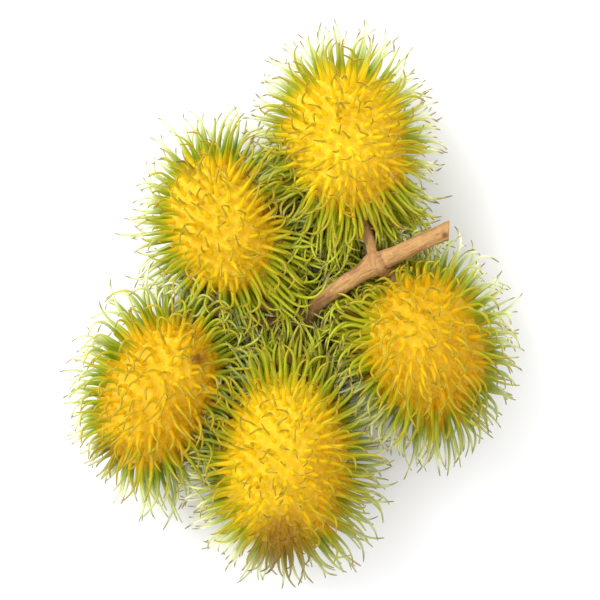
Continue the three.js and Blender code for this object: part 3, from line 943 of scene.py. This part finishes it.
def mottling_group():
    """Soft patches and a finer grain, as one mask and one height."""
    tree = bpy.data.node_groups.new("mottling", "ShaderNodeTree")
    tree.interface.new_socket("Vector", in_out="INPUT", socket_type="NodeSocketVector")
    for label in ("Patches", "Grain"):
        tree.interface.new_socket(f"{label} Scale", in_out="INPUT", socket_type="NodeSocketFloat")
        tree.interface.new_socket(label, in_out="OUTPUT", socket_type="NodeSocketFloat")
    given = node(tree, "NodeGroupInput").outputs
    result = node(tree, "NodeGroupOutput").inputs
    for label, detail in (("Patches", 2.0), ("Grain", 4.0)):
        cloud = node(tree, "ShaderNodeTexNoise", {
            "Vector": given["Vector"],
            "Scale": given[f"{label} Scale"],
            "Detail": detail,
            "Roughness": 0.6,
        })
        tree.links.new(spread(tree, cloud.outputs["Fac"], 0.3, 0.7), result[label])
    return tree


def mottled(tree, mottling, patch_scale, grain_scale):
    """The mottling's patches and grain at these scales."""
    cloud = node(tree, "ShaderNodeGroup", {
        "Vector": object_place(tree),
        "Patches Scale": patch_scale,
        "Grain Scale": grain_scale,
    }, node_tree=mottling)
    return cloud.outputs["Patches"], cloud.outputs["Grain"]


def object_place(tree):
    """Each point's place in its piece, which is its place in the bunch's frame."""
    return node(tree, "ShaderNodeTexCoord").outputs["Object"]


def new_material(name):
    """A material with an empty tree, and that tree."""
    material = bpy.data.materials.new(name)
    material.use_nodes = True
    material.node_tree.nodes.clear()
    return material, material.node_tree


def surface(tree, **inputs):
    """The Principled shader, wired to the output. Names are the sockets' own, with _ for a space."""
    values = {name.replace("_", " "): given for name, given in inputs.items()}
    shader = node(tree, "ShaderNodeBsdfPrincipled", values)
    node(tree, "ShaderNodeOutputMaterial", {"Surface": shader.outputs[0]})


def roughened(tree, height, strength):
    """A fine bump, as a normal."""
    inputs = {"Height": height, "Strength": strength, "Distance": BUMP_DISTANCE}
    return node(tree, "ShaderNodeBump", inputs).outputs[0]


# The side of the bunch whose greens are painted darker, as painted shade: the way to it, and where it
# starts and is full, in metres.
BUNCH_SHADE_WAY = (0.45, -0.89, 0.0)
BUNCH_SHADE_REACH = (0.025, 0.05)


def skin_material(mottling):
    """Rind and spines: yellow at the foot, green further out, with dry grey-brown tips."""
    material, tree = new_material("rambutan skin")
    along, sun, tint, valley, ripe, shade_side_share, sheltered, dry = (
        value(tree, name)
        for name in ("along", "sun", "tint", "valley", "ripe", "painted_shade_facing", "sheltered", "dry")
    )
    patches, grain = mottled(tree, mottling, 70.0, 900.0)

    ripeness = maths(tree, "MULTIPLY", ripe, 0.8)
    ripeness = maths(tree, "ADD", maths(tree, "MULTIPLY", patches, 0.4), ripeness)
    yellow = mixed(tree, ripeness, colour(248, 220, 32), colour(226, 180, 8))
    # Painted shade: between the spines' feet the rind is a darker, more orange yellow.
    valley_shaded = mixed(tree, spread(tree, valley, 0.45, 1.0), yellow, colour(234, 188, 8))
    # Painted shade: each rind turns a darker ochre on its side away from the window light.
    side_shaded = mixed(tree, spread(tree, shade_side_share, 0.1, 0.9, 0.0, 0.75), valley_shaded, colour(208, 158, 6))

    # Where along a spine its green starts: further out on top, and nearer its foot in the gaps.
    early = spread(tree, sun, 0.3, 1.0, 0.03, 0.5)
    uneven = maths(tree, "MULTIPLY", maths(tree, "SUBTRACT", tint, 0.5), 0.28)
    start = maths(tree, "ADD", early, uneven)
    start = maths(tree, "SUBTRACT", start, maths(tree, "MULTIPLY", sheltered, 0.25))
    greenness = spread(tree, maths(tree, "SUBTRACT", along, start), 0.0, 0.3)

    # The greens: fuller on the inner part of a spine, and paler on its outer part.
    bare_green = mixed(tree, tint, colour(116, 142, 0), colour(172, 188, 14))
    # Painted light: in the gaps among the fruits the inner greens are lighter, to lift the shade there.
    inner_green = mixed(tree, sheltered, bare_green, colour(176, 180, 16))
    open_green = mixed(tree, tint, colour(218, 226, 152), colour(245, 248, 216))
    raised_green = mixed(tree, spread(tree, sun, 0.15, 0.5), open_green, colour(170, 178, 28))
    # Painted light: in the gaps the outer part of a spine is a mid green set light enough to lift the
    # shade there.
    outer_green = mixed(tree, spread(tree, sheltered, 0.0, 0.6), raised_green, colour(182, 188, 48))
    green = mixed(tree, spread(tree, along, 0.34, 0.76), inner_green, outer_green)
    facing = spread(tree, sun, 0.3, 0.7)
    # Painted shade: on each fruit's side away from the window light, and more so towards the bunch's side
    # away from it, the greens are darker.
    toward_bunch_shade = node(tree, "ShaderNodeVectorMath", {
        0: object_place(tree),
        1: BUNCH_SHADE_WAY,
    }, operation="DOT_PRODUCT").outputs["Value"]
    shade = maths(tree, "MULTIPLY", shade_side_share, spread(tree, toward_bunch_shade, *BUNCH_SHADE_REACH, 0.0, 0.6))
    shade_painted_green = mixed(tree, shade, green, colour(118, 128, 8))
    upper_green = mixed(tree, spread(tree, sun, 0.7, 0.95), shade_painted_green, colour(206, 174, 14))
    ripe_green = mixed(tree, greenness, side_shaded, upper_green)

    # The ends of the spines: olive hooks, grey-brown tips, and the spines that have withered.
    olive = maths(tree, "MULTIPLY", facing, spread(tree, along, 0.52, 0.7))
    darkened = mixed(tree, olive, ripe_green, colour(170, 147, 12))
    dying = spread(tree, maths(tree, "ADD", along, maths(tree, "MULTIPLY", tint, 0.08)), 0.88, 1.0)
    tip = mixed(tree, facing, colour(134, 122, 80), colour(136, 112, 10))
    tipped = mixed(tree, dying, darkened, tip)
    withered = mixed(tree, spread(tree, along, 0.2, 0.9), colour(150, 96, 18), colour(88, 58, 26))
    dried = mixed(tree, maths(tree, "MULTIPLY", dry, 0.85), tipped, withered)
    # Painted shade: what faces down turns a darker olive.
    facing_down_shade = spread(tree, sun, -0.9, -0.1, 0.55, 0.0)
    shaded = mixed(tree, facing_down_shade, dried, colour(118, 124, 12))

    surface(
        tree,
        Base_Color=shaded,
        Roughness=spread(tree, grain, 0.0, 1.0, 0.38, 0.55),
        Normal=roughened(tree, grain, 0.25),
        Specular_IOR_Level=0.3,
        Subsurface_Weight=0.35,
        Subsurface_Radius=(1.0, 0.8, 0.25),
        Subsurface_Scale=0.0015,
    )
    return material


def bark_material(mottling):
    """Dry tan bark with pinkish patches, dark furrows and pale pores, and ringed wood on the cut end."""
    material, tree = new_material("bark")
    furrow, wrinkle, pore, cut, pith, upper, scar = (
        value(tree, name) for name in ("furrow", "wrinkle", "pore", "cut", "pith", "upper", "scar")
    )
    patches, grain = mottled(tree, mottling, 190.0, 1500.0)
    tan = mixed(tree, patches, colour(194, 153, 91), colour(184, 136, 91))
    aged = mixed(tree, spread(tree, furrow, 0.52, 0.7, 0.0, 0.6), tan, colour(206, 170, 123))
    streaked = mixed(tree, spread(tree, furrow, 0.48, 0.28), aged, colour(118, 78, 50))
    wrinkled = mixed(tree, spread(tree, wrinkle, 0.5, 0.3, 0.0, 0.7), streaked, colour(132, 92, 58))
    pored = mixed(tree, maths(tree, "MULTIPLY", pore, 0.5), wrinkled, colour(214, 180, 134))
    specked = mixed(tree, spread(tree, grain, 0.6, 1.0, 0.0, 0.5), pored, colour(158, 112, 74))
    # Painted shade: the bark darkens from the twig's top towards its sides and underside.
    underside_shaded = mixed(tree, spread(tree, upper, 0.75, 0.0, 0.0, 0.75), specked, colour(136, 98, 52))

    # The cut end's wood, and the scars on the bark.
    rings = maths(tree, "SINE", maths(tree, "MULTIPLY", pith, 28.0))
    wood = mixed(tree, spread(tree, rings, -1.0, 1.0), colour(214, 186, 138), colour(192, 158, 108))
    cored = mixed(tree, spread(tree, pith, 0.2, 0.1), wood, colour(134, 92, 54))
    rimmed = mixed(tree, spread(tree, pith, 0.8, 0.95), cored, colour(122, 84, 52))
    worn = mixed(tree, maths(tree, "MULTIPLY", grain, 0.35), rimmed, colour(150, 112, 72))
    scarred = mixed(tree, maths(tree, "MULTIPLY", scar, 0.8), underside_shaded, colour(104, 62, 40))
    faced = mixed(tree, cut, scarred, worn)
    height = maths(tree, "ADD", grain, maths(tree, "MULTIPLY", wrinkle, 2.0))
    surface(
        tree,
        Base_Color=faced,
        Roughness=spread(tree, grain, 0.0, 1.0, 0.7, 0.9),
        Normal=roughened(tree, height, 0.5),
        Specular_IOR_Level=0.25,
    )
    return material


def table_material(mottling):
    """A plain white table top."""
    material, tree = new_material("white table")
    patches, grain = mottled(tree, mottling, 3.0, 400.0)
    white = mixed(tree, patches, colour(250, 250, 251), colour(247, 247, 249))
    surface(tree, Base_Color=white, Roughness=spread(tree, grain, 0.0, 1.0, 0.75, 0.85))
    return material


# ---- The bunch ----

PIECE_NAMES = {
    "fruit_1": "top_fruit",
    "fruit_2": "upper_left_fruit",
    "fruit_3": "left_fruit",
    "fruit_4": "bottom_fruit",
    "fruit_5": "right_fruit",
}
SEED = 20


def make_fruits(skin):
    """All five fruits. Their spines are grown together, so that they stay out of each other."""
    random = np.random.default_rng(SEED)
    grown = [grow_spines(fruit, random) for fruit in fruits]
    counts = [len(paths) for paths, _ in grown]
    owners = np.repeat(np.arange(len(fruits)), counts)
    parted = part_spines(np.concatenate([paths for paths, _ in grown]), owners)
    tree = fruit_tree()
    sphere = bare_rind()
    pieces = []
    for index, fruit in enumerate(fruits):
        traits = dict(grown[index][1], girth=random.uniform(*GIRTH_RANGE, counts[index]))
        raw = raw_fruit(fruit, parted[owners == index], traits, sphere)
        pieces.append(built(new_piece(PIECE_NAMES[fruit.name], raw), tree, {
            "Foot Radius": SPINE_FOOT_RADIUS * MM,
            "Sides": SPINE_SIDES,
            "Rings": SPINE_STEPS + 1,
            "Flare Height": FLARE_HEIGHT * MM,
            "Flare Reach": FLARE_REACH * MM,
            "Pore Depth": PORE_DEPTH * MM,
            "Skin": skin,
        }))
    return pieces


# ---- Table, light and camera ----

TABLE_HALF = 4  # metres
ROOM_GLOW = 1.12


def make_table(material):
    """The table top that the bunch lies on."""
    shape = bmesh.new()
    bmesh.ops.create_grid(shape, x_segments=8, y_segments=8, size=TABLE_HALF)
    mesh = bpy.data.meshes.new("table_top")
    shape.to_mesh(mesh)
    shape.free()
    mesh.materials.append(material)
    new_piece("table_top", mesh)


def soft_light(name, place, size, power):
    """A square soft light that faces the bunch."""
    data = bpy.data.lights.new(name, "AREA")
    data.size = size
    data.energy = power
    light = new_piece(name, data)
    light.location = place
    light.rotation_euler = (-Vector(place)).to_track_quat("-Z", "Y").to_euler()


def light_the_studio():
    """Even white light from all round, more of it from a window at the upper left, and a little fill."""
    world = bpy.data.worlds.new("studio")
    world.use_nodes = True
    glow = world.node_tree.nodes["Background"].inputs
    glow["Color"].default_value = (1, 1, 1, 1)
    glow["Strength"].default_value = ROOM_GLOW
    bpy.context.scene.world = world
    soft_light("window_light", (-0.8, 0.58, 0.85), size=0.9, power=13)
    soft_light("fill_light", (0.3, -0.6, 1.0), size=1.2, power=2)
    bpy.context.scene.view_settings.view_transform = "Standard"


# The camera looks down on the middle of the view, which is a little off the middle of the bunch.
VIEW_MIDDLE = (2.06, 2.7, 28)
VIEW_WIDTH = 190.5
CAMERA_HEIGHT = 900
CAMERA_TILT = 2  # off straight down
SENSOR_WIDTH = 36


def place_camera():
    """The camera, above the bunch and a little towards its bottom fruit."""
    data = bpy.data.cameras.new("camera")
    data.sensor_width = SENSOR_WIDTH
    data.lens = data.sensor_width * CAMERA_HEIGHT / VIEW_WIDTH
    camera = new_piece("camera", data)
    tilt = math.radians(CAMERA_TILT)
    back = Vector((0, -math.sin(tilt), math.cos(tilt)))
    camera.location = (Vector(VIEW_MIDDLE) + back * CAMERA_HEIGHT) * MM
    camera.rotation_euler = (tilt, 0, 0)
    bpy.context.scene.camera = camera


mottling = mottling_group()
place_camera()
light_the_studio()
make_table(table_material(mottling))
for fruit, piece in zip(fruits, make_fruits(skin_material(mottling))):
    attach(piece, "root")
    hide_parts(fruit.name)
twig = make_twig(bark_material(mottling))
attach(twig, "root")
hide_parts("twig")
